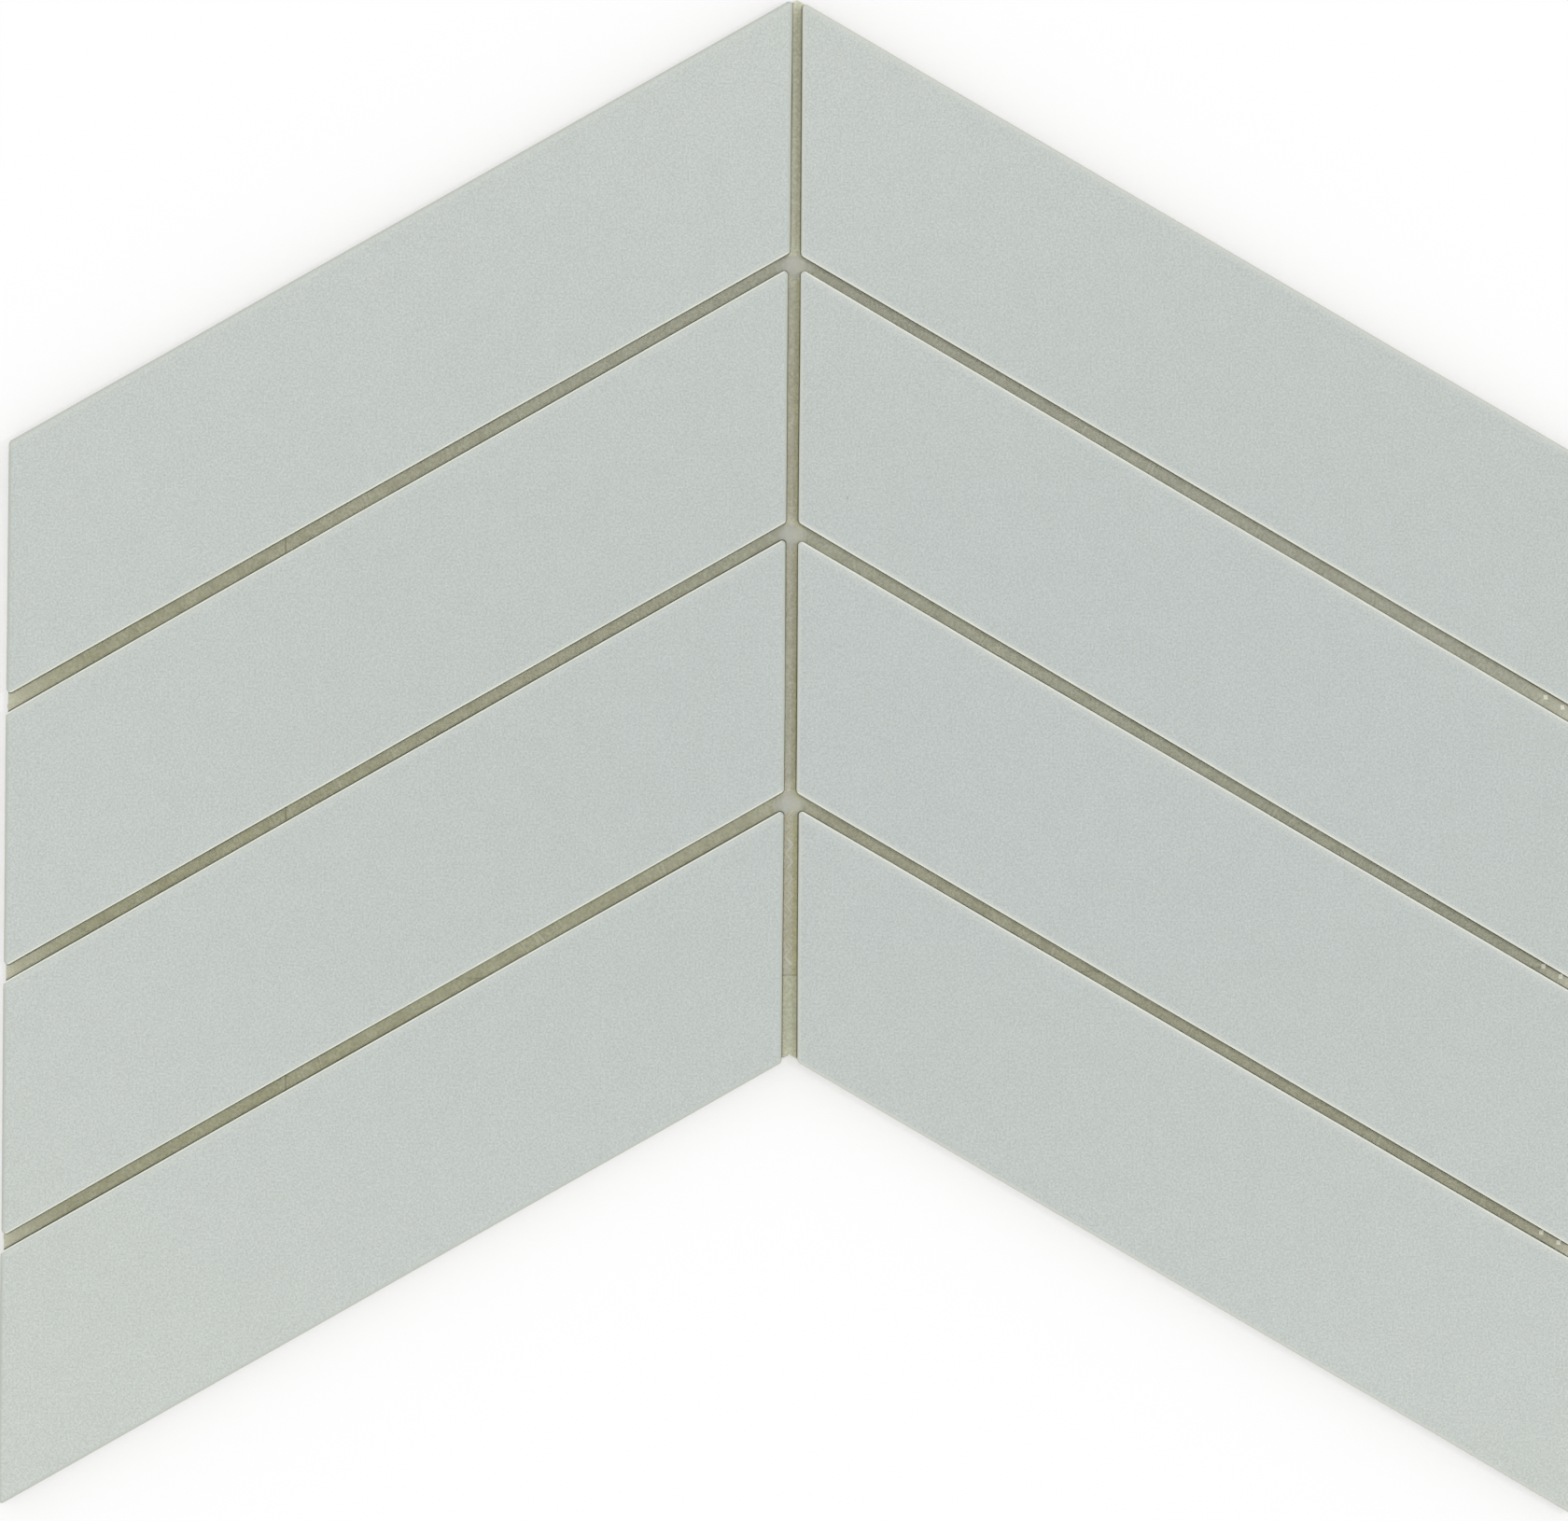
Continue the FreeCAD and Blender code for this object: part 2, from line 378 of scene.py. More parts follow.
def thin_edges(tree, place, across, tone):
    """The glaze's tone with its pale edges: a wide one at the ends, and along the sides a painted
    highlight and a line that is partly thin glaze and partly painted highlight.
    """
    inward, flank, crest = attributes(tree, "inward", "flank", "crest")
    waver = calc(tree, "MULTIPLY", grain(tree, place, *WAVER), WAVER_WIDTH)
    end_tone = blend(tree, calc(tree, "GREATER_THAN", across, 0), *END_TONES)
    ends = fade(tree, calc(tree, "ADD", inward, waver), *END_FADE)
    tone = blend(tree, ends, tone, end_tone)
    # Painted highlight along the long edges, widest on the upper ones
    glow = calc(tree, "MAXIMUM", fade(tree, crest, *CREST_HIGHLIGHT), fade(tree, flank, *FLANK_HIGHLIGHT))
    tone = blend(tree, glow, tone, HIGHLIGHT_TONE)
    # A pale line on the long edges: partly thin glaze, partly painted highlight
    rim = fade(tree, calc(tree, "ADD", flank, waver), *RIM_HIGHLIGHT_FADE)
    return blend(tree, rim, tone, RIM_AND_HIGHLIGHT_TONE)


def satin_glaze():
    """A grey-green satin glaze: cream where it thins on the edges, with painted highlights along them,
    bare biscuit down the sides.
    """
    material, tree, surface = new_material("satin_glaze")
    place = add(tree, "TexCoord").outputs["Object"]
    across, _, height = add(tree, "SeparateXYZ", {"Vector": place}).outputs
    tone = thin_edges(tree, place, across, glaze_body(tree, place))
    ragged = calc(tree, "MULTIPLY", grain(tree, place, *RAGGED), RAGGED_HEIGHT)
    bare = fade(tree, calc(tree, "ADD", height, ragged), *BARE_FADE)
    biscuit = blend(tree, mottle(tree, place, SPECKLE, SPECKLE_FADE), *BISCUIT_TONES)
    polish = mottle(tree, place, POLISH, POLISH_FADE)
    rough = calc(tree, "MAXIMUM", polish, calc(tree, "MULTIPLY", bare, BISCUIT_ROUGH))
    ripple = calc(tree, "MULTIPLY", grain(tree, place, *RIPPLE), RIPPLE_SHARE)
    pits = calc(tree, "MULTIPLY", grain(tree, place, *PITS), PITS_SHARE)
    relief = calc(tree, "ADD", ripple, pits)
    dress(tree, surface, blend(tree, bare, tone, biscuit), rough, relief, *GLAZE_BUMP)
    set_inputs(tree, surface, {"IOR": GLAZE_IOR})
    return material


def film_body(tree, place, x, y, below):
    """The glue's cloudy tone, which greys towards the apex and +X partly as painted uneven light, with
    other tones in the spine joint, whose right half is tinted olive as painted shade.
    """
    film = blend(tree, mottle(tree, place, FILM_CLOUD, EVEN), *FILM_TONES)
    # Drift towards the apex and +X, partly painted uneven light
    drift = fade(tree, calc(tree, "MULTIPLY_ADD", x, FILM_LEAN, y), *FILM_TONE_AND_SHADE_DRIFT)
    film = blend(tree, drift, film, FILM_FAR)
    # The spine's right half is tinted olive as painted shade
    spine = blend(tree, fade(tree, x, *SPINE_SHADE_ACROSS), *SPINE_TONES_AND_SHADE)
    spine = blend(tree, fade(tree, below, *BELOW_FADE), spine, SPINE_BELOW)
    spine = blend(tree, fade(tree, y, *APEX_FADE), spine, SPINE_APEX)
    film = blend(tree, fade(tree, calc(tree, "ABSOLUTE", x), *SPINE_FADE), film, spine)
    return blend(tree, 1.0, film, mottle(tree, place, FILM_GRAIN, FILM_GRAIN_FADE), "MULTIPLY")


def strings_and_pools(tree, place, aside, film):
    """The glue's tone with its strings, its pale outer ends and the pools at the crossings, partly painted
    light, with a painted highlight along their brims.
    """
    pool, turn = attributes(tree, "pool", "turn")
    string = 0.0
    for middle, width, strength in STRING_LINES:
        thread = line(tree, calc(tree, "SUBTRACT", calc(tree, "FRACT", turn), middle), width)
        string = calc(tree, "MAXIMUM", string, calc(tree, "MULTIPLY", thread, strength))
    shown = mottle(tree, place, STRING_PATCHES, PATCH_FADE)
    film = blend(tree, calc(tree, "MULTIPLY", string, shown), film, STRING_TONE)
    film = blend(tree, fade(tree, aside, *SIDE_FADE), film, SIDE_TONE)
    film = blend(tree, calc(tree, "MULTIPLY", pool, POOL_SHARE), film, POOL_LIT_TONE)
    middle, width = BRIM_HIGHLIGHT_LINE
    brim_highlight = line(tree, calc(tree, "SUBTRACT", pool, middle), width)
    return blend(tree, calc(tree, "MULTIPLY", brim_highlight, shown), film, BRIM_HIGHLIGHT_TONE)


def net_laps(tree, place, aside, beside, below):
    """Where a lap of the net shows through: a straight one, and a torn one that runs from it to +X."""
    torn = calc(tree, "MULTIPLY_ADD", grain(tree, place, *LAP_TEAR), TEAR_WIDTH, -TEAR_WIDTH / 2)
    torn = calc(tree, "MULTIPLY", torn, fade(tree, aside, *TEAR_FADE))
    lap = line(tree, calc(tree, "ADD", below, torn), LAP_Y_WIDTH)
    lap = calc(tree, "MULTIPLY", lap, calc(tree, "GREATER_THAN", beside, 0))
    lap = calc(tree, "MULTIPLY", lap, mottle(tree, place, LAP_BREAKS, BREAK_FADE))
    return calc(tree, "MAXIMUM", lap, line(tree, beside, LAP_X_WIDTH))


def soft_glue():
    """Khaki adhesive over the net, with pale strings across it, grey pools, the laps of the net and
    painted shade along the chips.
    """
    material, tree, surface = new_material("soft_glue")
    place = add(tree, "TexCoord").outputs["Object"]
    x, y, _ = add(tree, "SeparateXYZ", {"Vector": place}).outputs
    aside = calc(tree, "ABSOLUTE", x)
    beside, below = off_line(tree, x, y, *LAP_X), off_line(tree, y, x, *LAP_Y)
    film = film_body(tree, place, x, y, below)
    film = strings_and_pools(tree, place, aside, film)
    lap = net_laps(tree, place, aside, beside, below)
    film = blend(tree, calc(tree, "MULTIPLY", lap, LAP_SHARE), film, LAP_TONE)
    # Painted shade in the crevices along the chips, with a share for each side of a chip
    gap, crevice_share = attributes(tree, "gap", "crevice_share")
    shaded_share = calc(tree, "MAXIMUM", crevice_share, fade(tree, aside, *CREVICE_SHADE_SIDES))
    crevice_shade = calc(tree, "MULTIPLY", fade(tree, gap, *CREVICE_SHADE_FADE), shaded_share)
    film = blend(tree, crevice_shade, film, CREVICE_SHADE_TONE)
    rough = mottle(tree, place, FILM_SHEEN, SHEEN_FADE)
    dress(tree, surface, film, rough, grain(tree, place, *FILM_RELIEF), *FILM_BUMP)
    set_inputs(tree, surface, {"IOR": FILM_IOR})
    return material


def glass_yarn():
    """Cream yarn of many fine glass fibres, stiff with size, with painted shade along its sides, and pale
    where it is knotted.
    """
    material, tree, surface = new_material("glass_yarn")
    place = add(tree, "TexCoord").outputs["Object"]
    fibres = mottle(tree, place, FIBRES, EVEN)
    dry, wet = blend(tree, fibres, *DRY_TONES), blend(tree, fibres, *WET_TONES)
    tone = blend(tree, mottle(tree, place, SOAKED, SOAKED_FADE), dry, wet)
    [edge] = attributes(tree, "edge")
    # Painted shade along the yarn's sides
    tone = blend(tree, fade(tree, edge, *SIDE_SHADE_FADE), tone, YARN_SIDE_SHADE)
    tone = blend(tree, fade(tree, edge, *KNOT_FADE), tone, KNOT_TONE)
    dress(tree, surface, tone, fade(tree, fibres, *FIBRE_ROUGH), fibres, *YARN_BUMP)
    return material


# Meshes

def new_piece(name, mesh, material, slot, *nodes):
    """Puts a mesh in the scene as a piece that stands for CAD nodes."""
    piece = bpy.data.objects.new(name, mesh)
    bpy.context.scene.collection.objects.link(piece)
    mesh.materials.clear()
    mesh.materials.append(material)
    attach(piece, "root")
    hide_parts(*nodes)
    return piece


def coordinates(mesh):
    """A mesh's vertices as an array."""
    points = np.zeros(len(mesh.vertices) * 3)
    mesh.vertices.foreach_get("co", points)
    return points.reshape(-1, 3)


def store(mesh, name, values):
    """Keeps a value per vertex for the material to read."""
    attribute = mesh.attributes.new(name, "FLOAT", "POINT")
    attribute.data.foreach_set("value", np.asarray(values, np.float32))


def smooth(mesh, sharp):
    """Shades a mesh smoothly, apart from edges that turn by more than an angle."""
    mesh.shade_smooth()
    mesh.set_sharp_from_angle(angle=sharp)


def wave(points, size, seed):
    """Smooth noise from -1 to 1 at flat points, with waves of a given size."""
    return np.array([noise.noise((x / size, y / size, seed)) for x, y in points])


# Chips

class Outline:
    """The convex outline of a chip in plan."""

    def __init__(self, node):
        flat = coordinates(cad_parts[node].data)[:, :2]
        ring = flat[geometry.convex_hull_2d([Vector(p) for p in flat])]
        along = np.roll(ring, -1, axis=0) - ring
        keep = np.hypot(*along.T) > WELD
        self.ring, self.along = ring[keep], along[keep]
        self.lengths = np.hypot(*self.along.T)
        self.outward = np.stack([self.along[:, 1], -self.along[:, 0]], axis=1) / self.lengths[:, None]
        if np.sum((flat.mean(axis=0) - self.ring) * self.outward) > 0:
            self.outward = -self.outward
        self.offsets = np.sum(self.ring * self.outward, axis=1)

    def inward(self, points):
        """How far flat points lie inside the outline, and the way out from each."""
        depths = self.offsets - points @ self.outward.T
        nearest = depths.argmin(axis=1)
        return depths[np.arange(len(points)), nearest], self.outward[nearest]

    def beside(self, distance, step):
        """Points at even steps along the outline, a distance outside it."""
        points = []
        for start, along, way in zip(self.ring, self.along, self.outward):
            count = max(1, round(np.hypot(*along) / step))
            points += [start + along * i / count + way * distance for i in range(count + 1)]
        return np.array(points)

    def sides(self):
        """The four straight sides, as (way out, offset): the two long ones first."""
        order = np.argsort(-self.lengths)[:4]
        return [(self.outward[i], self.offsets[i]) for i in order]

    def long_sides(self):
        """The lower and the upper long side, as (way out, offset)."""
        return sorted(self.sides()[:2], key=lambda side: side[0][1])


OUTLINES = {name: Outline(name) for name in CHIPS}


def chip_cuts(outline):
    """The planes that cut a chip's mesh: rings along its rim, and an even grid."""
    sides = outline.sides()
    cuts = [(way, offset - inset) for way, offset in sides for inset in RIM_CUTS]
    for (way, offset), (_, far) in (sides[0:2], sides[2:4]):
        across = offset + far
        count = int(across / CUT_STEP)
        cuts += [(way, offset - across * i / count) for i in range(1, count)]
    return cuts


def cut_chip(node):
    """A copy of a CAD chip's mesh, cut finely along its rim and evenly over its face."""
    shell = bmesh.new()
    shell.from_mesh(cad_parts[node].data)
    bmesh.ops.remove_doubles(shell, verts=shell.verts, dist=WELD)
    bmesh.ops.dissolve_limit(shell, angle_limit=LEVEL, verts=shell.verts, edges=shell.edges)
    for way, offset in chip_cuts(OUTLINES[node]):
        bmesh.ops.bisect_plane(
            shell, geom=shell.verts[:] + shell.edges[:] + shell.faces[:], dist=WELD,
            plane_co=(way[0] * offset, way[1] * offset, 0), plane_no=(way[0], way[1], 0))
    mesh = bpy.data.meshes.new("fired_" + node)
    shell.to_mesh(mesh)
    shell.free()
    return mesh


def fired_chip(node, material):
    """A chip whose edges wander a little and whose face falls to them, as the kiln leaves it."""
    outline, mesh = OUTLINES[node], cut_chip(node)
    row, seed = int(node[-1]), WANDER_SEEDS * CHIPS.index(node)
    points = coordinates(mesh)
    inward, way = outline.inward(points[:, :2])
    lower, upper = [offset - points[:, :2] @ side for side, offset in outline.long_sides()]

    stray = WANDER * wave(points[:, :2], WANDER_SIZE, seed) * np.exp(-inward / WANDER_REACH)
    points[:, :2] += way * stray[:, None]
    points = np.clip(points, cad_box[0], cad_box[1])
    on_face = points[:, 2] > FACE - FACE_ROUND - WELD
    fall = CUSHION * np.exp(-np.maximum(inward - FACE_ROUND, 0) / CUSHION_REACH)
    points[on_face, 2] -= fall[on_face]
    mesh.vertices.foreach_set("co", points.ravel())

    flank = np.minimum(upper + OUTER_RIM * (row == 1), lower + OUTER_RIM * (row == len(ROW_TOPS)))
    for name, values in (("inward", inward), ("flank", flank), ("crest", upper)):
        store(mesh, name, values)
    smooth(mesh, CHIP_SHARP)
    piece = new_piece("fired_" + node, mesh, material, "glaze", node)
    piece.modifiers.new("even_shading", "WEIGHTED_NORMAL").keep_sharp = True
    return piece


def chip_gap(points):
    """How far flat points lie from the nearest chip; less than nothing inside one."""
    return np.min([-outline.inward(points)[0] for outline in OUTLINES.values()], axis=0)


# Paved slabs: the glue and the film

def even_points(low, high, step):
    """An even field of points, the corners of even-sided triangles, in rows that are shifted by turns."""
    columns = np.arange(low[0] + step / 3, high[0], step)
    rows = np.arange(low[1] + step / 3, high[1], step * math.sqrt(0.75))
    x, y = np.meshgrid(columns, rows)
    x[1::2] += step / 2
    return np.stack([x.ravel(), y.ravel()], axis=1)


def rim_of(mesh, height):
    """The edges round a mesh's level top or bottom, as pairs of flat points."""
    shell = bmesh.new()
    shell.from_mesh(mesh)
    bmesh.ops.remove_doubles(shell, verts=shell.verts, dist=WELD)
    level = {f for f in shell.faces if all(abs(v.co.z - height) < WELD for v in f.verts)}
    rim = [e for e in shell.edges if sum(f in level for f in e.link_faces) == 1]
    pairs = [tuple(v.co.xy.copy() for v in e.verts) for e in rim]
    shell.free()
    return pairs


def stepped(pairs, step):
    """Points at even steps along the edges of an outline, and the links between them."""
    ring, links = [], []
    for start, end in pairs:
        count = max(1, math.ceil((end - start).length / step))
        links += [(len(ring) + i, len(ring) + i + 1) for i in range(count)]
        ring += [start.lerp(end, i / count) for i in range(count + 1)]
    return ring, links


def tree_of(points):
    """A search tree of flat points."""
    tree = kdtree.KDTree(len(points))
    for number, point in enumerate(points):
        tree.insert((point[0], point[1], 0), number)
    tree.balance()
    return tree


def clear_of(field, points, distance):
    """The points of a field that keep a distance from other points."""
    tree = tree_of(points)
    return [p for p in field if tree.find((p[0], p[1], 0))[2] > distance]


def paved(ring, links, field=()):
    """Fills an outline with triangles through a field of points: the flat points and the triangles."""
    points, _, faces, *_ = geometry.delaunay_2d_cdt([*ring, *map(Vector, field)], links, [], 1, WELD)
    used = sorted({corner for face in faces for corner in face})
    place = {corner: number for number, corner in enumerate(used)}
    return np.array([points[c] for c in used]), [[place[c] for c in face] for face in faces]


def slab(name, ring, links, field, skin, level):
    """A closed mesh between a skin, a function that gives its points' heights, and a level side."""
    flat, faces = paved(ring, links, field)
    base, back = paved(ring, links)
    heights, count = skin(flat), len(flat)
    sides = [(a, b) for face in faces for a, b in zip(face, face[1:] + face[:1])]
    rim = sorted(set(sides) - {(b, a) for a, b in sides})
    tree = tree_of(base)
    twin = {a: count + tree.find((*flat[a], 0))[1] for a, _ in rim}
    faces = faces + [[count + c for c in reversed(face)] for face in back]
    faces += [[a, twin[a], twin[b], b] for a, b in rim]
    if heights.mean() < level:
        faces = [face[::-1] for face in faces]
    points = [*np.column_stack([flat, heights]).tolist(), *((x, y, level) for x, y in base)]
    mesh = bpy.data.meshes.new(name)
    mesh.from_pydata(points, [], faces)
    smooth(mesh, GLUE_SHARP)
    return mesh, flat


def bell(distance, width):
    """One at no distance, falling smoothly to nothing."""
    return np.exp(-(distance / width) ** 2)


def crevice_shading(points):
    """How much painted shade darkens the glue in the crevice along the nearest chip, as a share."""
    near = [outline.inward(points) for outline in OUTLINES.values()]
    nearest = np.argmax([depth for depth, _ in near], axis=0)
    rises = np.array([way[:, 1] for _, way in near])[nearest, np.arange(len(points))]
    shares = [CREVICE_SHADE_SHARES[name.split("_")[0]] for name in OUTLINES]
    return [np.interp(rise, (-COSINE, 0, COSINE), shares[n]) for rise, n in zip(rises, nearest)]


def glue_pools(flat):
    """Where glue has pooled at the crossings of the joints, from 0 to 1."""
    sides, up, down = POOL_REACH
    pools = np.zeros(len(flat))
    ragged = 1 + POOL_RAGGED * wave(flat, POOL_RAGGED_SIZE, POOL_SEED)
    for tip in ROW_TOPS[1:]:
        x, y = flat[:, 0] - POOL_SHIFT[0], flat[:, 1] - tip - POOL_SHIFT[1]
        reach = np.hypot(x / sides, y / np.where(y > 0, up, down))
        share = np.clip((POOL_END - reach * ragged) / POOL_FADE, 0, 1)
        pools = np.maximum(pools, share * share * (3 - 2 * share))
    return pools


def string_turns(flat):
    """Counts the strings of glue along the joint that each point is in."""
    x, y = flat.T
    slanted = COSINE * x - np.sign(x) * SINE * y
    along = np.where(np.abs(x) < SPINE_HALF, y, slanted)
    return (along + STREAK_SWAY * wave(flat, 2 * STREAK_PITCH, STREAK_SEED)) / STREAK_PITCH


def glue_skin(flat):
    """The height of the glue in the joints: drawn down along the chips, pooled at the crossings."""
    string = np.abs(string_turns(flat) % 1 - 0.5) * STREAK_PITCH
    return (GLUE_TOP - CREVICE * bell(np.maximum(chip_gap(flat), 0), CREVICE_WIDTH)
            + LUMPS * wave(flat, LUMP_SIZE, LUMP_SEED) + POOL_RISE * glue_pools(flat)
            + STREAK_RISE * bell(string, STREAK_WIDTH))


def joint_glue(material):
    """The glue that stands up in the joints, meshed finely along the chips."""
    pairs = rim_of(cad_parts["mesh_backing"].data, GLUE_TOP)
    ring, links = stepped(pairs, GLUE_STEP)
    edge, _ = stepped(pairs, HEM / 4)
    hem = np.concatenate([outline.beside(HEM, GLUE_STEP) for outline in OUTLINES.values()])
    field = even_points(np.min(ring, axis=0), np.max(ring, axis=0), GLUE_STEP)
    field = field[chip_gap(field) > HEM + GLUE_STEP / 2]
    field = [*hem[chip_gap(hem) > HEM - WELD], *field]
    mesh, flat = slab("joint_glue", ring, links, clear_of(field, edge, HEM / 2), glue_skin, CHIP_BACK)
    hidden = np.zeros(len(mesh.vertices) - len(flat))
    for name, values in (("gap", np.maximum(chip_gap(flat), 0)), ("pool", glue_pools(flat)),
                         ("turn", string_turns(flat)), ("crevice_share", crevice_shading(flat))):
        store(mesh, name, np.concatenate([values, hidden]))
    return new_piece("joint_glue", mesh, material, "backing", "mesh_backing")


def film_back(flat):
    """The back of the adhesive film, which sinks between the threads of the net."""
    cells = np.cos(2 * math.pi * (flat - (WARP_SHIFT, 0)) / (WARP_PITCH, WEFT_PITCH))
    return FILM_BACK - FILM_SAG * np.max(cells, axis=1)


def adhesive_film(material):
    """The film of adhesive that holds the net to the chips."""
    ring, links = stepped(rim_of(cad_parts["mesh_backing"].data, 0), FILM_STEP)
    field = even_points(np.min(ring, axis=0), np.max(ring, axis=0), FILM_STEP)
    field = clear_of(field, ring, FILM_CLEAR)
    mesh, _ = slab("adhesive_film", ring, links, field, film_back, CHIP_BACK)
    for name, value in (("gap", FILM_GAP), ("pool", 0), ("turn", 0), ("crevice_share", 0)):
        store(mesh, name, np.full(len(mesh.vertices), value))
    return new_piece("adhesive_film", mesh, material, "backing", "mesh_backing")


# The net

class Strands:
    """Flat yarns, gathered into one mesh."""

    TURNS = np.arange(YARN_SIDES) * 2 * math.pi / YARN_SIDES
    SECTION = [(math.cos(turn), math.sin(turn)) for turn in TURNS]

    def __init__(self):
        self.points, self.faces, self.edges = [], [], []

    def lay(self, path, width, thickness, axis=1, leans=(0, 0), rim=1):
        """Adds a flat yarn along a path, cut off on a slant where the outline at its ends leans.

        The rim is 1 on a yarn, whose sides are painted darker as painted shade, and 0 on a knot.
        """
        path = np.asarray(path)
        first, around = len(self.points), len(self.SECTION)
        along = np.gradient(path, axis=0)
        across = np.stack([-along[:, 1], along[:, 0]], axis=1)
        across /= np.hypot(along[:, 0], along[:, 1])[:, None]
        slants = np.zeros(len(path))
        slants[[0, -1]] = leans
        for middle, side, slant in zip(path, across * width / 2, slants):
            for wide, high in self.SECTION:
                point = middle + (*side * wide, high * thickness / 2)
                point[axis] += slant * side[1 - axis] * wide
                self.points.append(tuple(point))
                # How much painted shade each point takes: most on the yarn's sides
                self.edges.append(abs(wide) * rim)
        for ring in range(len(path) - 1):
            for i in range(around):
                a, b = first + ring * around + i, first + ring * around + (i + 1) % around
                self.faces.append((a, a + around, b + around, b))
        last = first + (len(path) - 1) * around
        self.faces.append(tuple(range(first, first + around)))
        self.faces.append(tuple(reversed(range(last, last + around))))

    def piece(self, name, material):
        """The yarns as one piece of the backing."""
        mesh = bpy.data.meshes.new(name)
        mesh.from_pydata(self.points, [], self.faces)
        shell = bmesh.new()
        shell.from_mesh(mesh)
        bmesh.ops.recalc_face_normals(shell, faces=shell.faces)
        shell.to_mesh(mesh)
        shell.free()
        smooth(mesh, YARN_SHARP)
        store(mesh, "edge", self.edges)
        return new_piece(name, mesh, material, "backing", "mesh_backing")


def crossings(pairs, axis, level):
    """Where a line at one level of an axis runs inside an outline: pairs of ends along the other axis.

    An end is its place, and how much further off the outline is for each step to the line's side.
    """
    hits = []
    for start, end in pairs:
        if (start[axis] - level) * (end[axis] - level) < 0:
            share = (level - start[axis]) / (end[axis] - start[axis])
            lean = (end - start)[1 - axis] / (end - start)[axis]
            hits.append((start.lerp(end, share)[1 - axis], lean))
    hits.sort()
    return list(zip(hits[::2], hits[1::2]))


def fray(x, y):
    """How far a yarn stands out where it is cut off: freely only in the mouth of a joint."""
    length = FRAY * (FRAY_MEAN + noise.noise((x / MM, y / MM, FRAY_SEED)))
    gap = chip_gap(np.array([(x, y)]))[0]
    return length if gap > FRAY_GAP else min(length, max(FRAY_LEAST, -gap / 2))


def cut_ends(start, end, level, axis):
    """A run of yarn along an axis with its cut ends, which stand out of the film by uneven lengths."""
    first, last = [fray(*((place, level) if axis == 0 else (level, place))) for place in (start, end)]
    lowest, highest = [corner[axis] for corner in cad_box]
    return max(start - first, lowest + FRAY_CLEAR), min(end + last, highest - FRAY_CLEAR)


def warp_path(x, stops, side):
    """One of a pair of warps, which changes places with the other from one weft to the next."""
    path = []
    for y, lean in stops:
        turn = math.cos(math.pi * y / WEFT_PITCH) * side
        path.append((x + TWIST * turn, y + lean * TWIST * turn, NET_HEIGHT + WARP_SWING * turn))
    return path


def levels(low, high, pitch, shift=0):
    """The places of the net's threads between two levels."""
    numbers = range(math.ceil((low - shift) / pitch), math.floor((high - shift) / pitch) + 1)
    return [n * pitch + shift for n in numbers]


def net(material):
    """The net behind the chips: straight wefts, and warps that cross between one weft and the next."""
    pairs = rim_of(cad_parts["mesh_backing"].data, 0)
    low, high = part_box("mesh_backing")
    wefts, warps = Strands(), Strands()
    for y in levels(low.y, high.y, WEFT_PITCH):
        for (start, first), (end, last) in crossings(pairs, 1, y):
            if end - start > WEFT_PITCH:
                start, end = cut_ends(start, end, y, 0)
                inner = levels(start + WEFT_WIDTH, end - WEFT_WIDTH, WARP_PITCH, WARP_SHIFT)
                path = [(x, y, NET_HEIGHT) for x in (start, *inner, end)]
                wefts.lay(path, WEFT_WIDTH, WEFT_THICKNESS, 0, (first, last))
    for x in levels(low.x, high.x, WARP_PITCH, WARP_SHIFT):
        for (start, first), (end, last) in crossings(pairs, 0, x):
            start, end = cut_ends(start, end, x, 1)
            inner = [(y, 0) for y in levels(start + WEFT_WIDTH, end - WEFT_WIDTH, WEFT_PITCH)]
            for side in (-1, 1):
                path = warp_path(x, [(start, first), *inner, (end, last)], side)
                warps.lay(path, WARP_WIDTH, WARP_THICKNESS, 1, (first, last))
    return wefts.piece("net_wefts", material), warps.piece("net_warps", material)


def joint_middles(column, x):
    """The Y of the middle of each slanted joint of a column at a given X."""
    chips = [OUTLINES[name].long_sides() for name in CHIPS if name.startswith(column)]
    lower, upper = [[(offset - way[0] * x) / way[1] for way, offset in sides] for sides in zip(*chips)]
    return np.add(lower[:-1], upper[1:]) / 2


def bare_knots(strands):
    """Adds the knots of the net that come through the glue at the ends of the right column's joints."""
    for x in np.multiply(KNOTTED_WARPS, WARP_PITCH) + WARP_SHIFT:
        for y in joint_middles("right", x) + KNOT_LIFT:
            flat = np.array([(x, y + KNOT_LENGTH * share) for share in KNOT_STOPS])
            strands.lay(np.column_stack([flat, glue_skin(flat)]), KNOT_WIDTH, WARP_THICKNESS, rim=0)


def bare_twists(material):
    """Threads of the net that lie bare on the glue: twists in the spine joint, knots at the right."""
    twists = Strands()
    bare_knots(twists)
    for top, bottom, sunk in BARE_TWISTS:
        turns = np.arange(0, (top - bottom) / WARP_PITCH, BARE_STEP)
        swing = BARE_SWING * (np.abs((turns % 1) * 4 - 2) - 1)
        flat = np.stack([BARE_SHIFT + swing, top - turns * WARP_PITCH], axis=1)
        twists.lay(np.column_stack([flat, glue_skin(flat) - sunk]), BARE_WIDTH, WARP_THICKNESS)
    return twists.piece("bare_twists", material)


# Floor, light and camera

def background(tree, lit, shown):
    """A level for rays that look at the background, and another for rays that light the sheet."""
    rays = add(tree, "LightPath").outputs
    seen = calc(tree, "MAXIMUM", rays["Is Camera Ray"], rays["Is Glossy Ray"])
    seen = calc(tree, "MAXIMUM", seen, rays["Is Transmission Ray"])
    return fade(tree, seen, 0, 1, lit, shown)


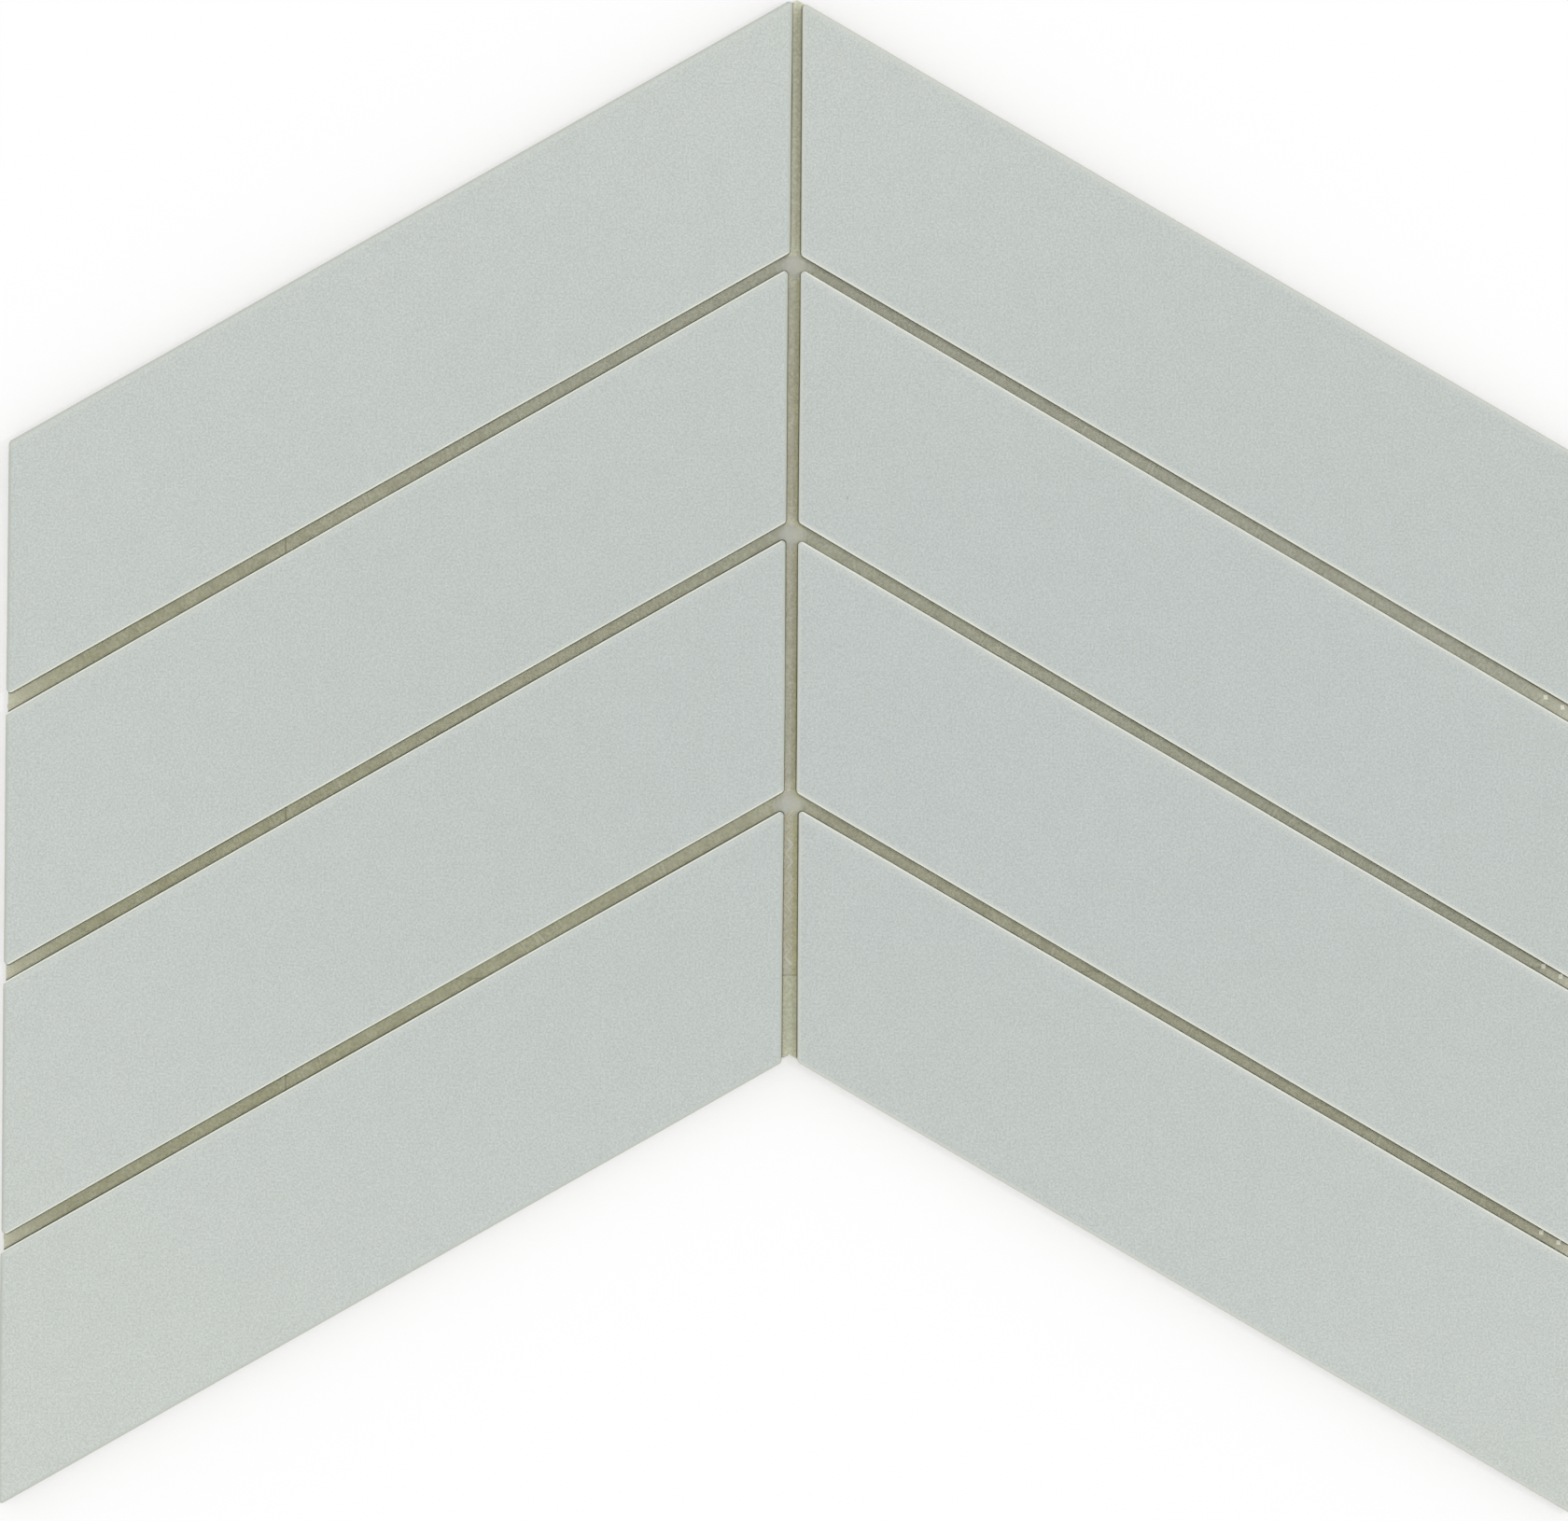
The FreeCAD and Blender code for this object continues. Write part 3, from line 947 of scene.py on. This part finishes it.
def white_floor():
    """A pale floor that reads as white and still takes the sheet's shadow."""
    mesh = bpy.data.meshes.new("floor")
    half = FLOOR_SIZE / 2
    corners = ((-half, -half), (half, -half), (half, half), (-half, half))
    mesh.from_pydata([(x, y, -FLOOR_GAP) for x, y in corners], [], [(0, 1, 2, 3)])
    floor = bpy.data.objects.new("floor", mesh)
    bpy.context.scene.collection.objects.link(floor)
    material, tree, surface = new_material("white_floor")
    glow = background(tree, 0, 1 - FLOOR_TINT)
    set_inputs(tree, surface, {"Base Color": (FLOOR_TINT, FLOOR_TINT, FLOOR_TINT, 1), "Roughness": 1.0,
                               "Specular IOR Level": 0.0, "Emission Color": WHITE,
                               "Emission Strength": glow})
    mesh.materials.append(material)


def studio_light():
    """An even white sky, with a soft lamp that leans in from the right."""
    world = bpy.data.worlds.new("studio")
    bpy.context.scene.world = world
    world.use_nodes = True
    tree = world.node_tree
    sky = tree.nodes["Background"]
    set_inputs(tree, sky, {"Color": WHITE, "Strength": background(tree, SKY, 1.0)})
    lamp = bpy.data.lights.new("key", "SUN")
    lamp.energy = KEY * math.pi / math.cos(KEY_TILT)
    lamp.angle = KEY_SPREAD
    key = bpy.data.objects.new("key", lamp)
    key.rotation_euler = (0, KEY_TILT, KEY_SIDE)
    bpy.context.scene.collection.objects.link(key)


def camera():
    """A long lens straight above the sheet."""
    lens = bpy.data.cameras.new("camera")
    lens.lens, lens.sensor_width, lens.sensor_fit = LENS, SENSOR, "HORIZONTAL"
    eye = bpy.data.objects.new("camera", lens)
    eye.location = (*FRAME_MIDDLE, FACE + FRAME_WIDTH * LENS / SENSOR)
    eye.rotation_euler = (0, 0, FRAME_TURN)
    lens.clip_end = 2 * eye.location.z
    bpy.context.scene.collection.objects.link(eye)
    bpy.context.scene.camera = eye


glaze = satin_glaze()
for chip in CHIPS:
    fired_chip(chip, glaze)
glue = soft_glue()
joint_glue(glue)
adhesive_film(glue)
yarn = glass_yarn()
net(yarn)
bare_twists(yarn)
white_floor()
studio_light()
camera()
bpy.context.scene.view_settings.view_transform = "Standard"
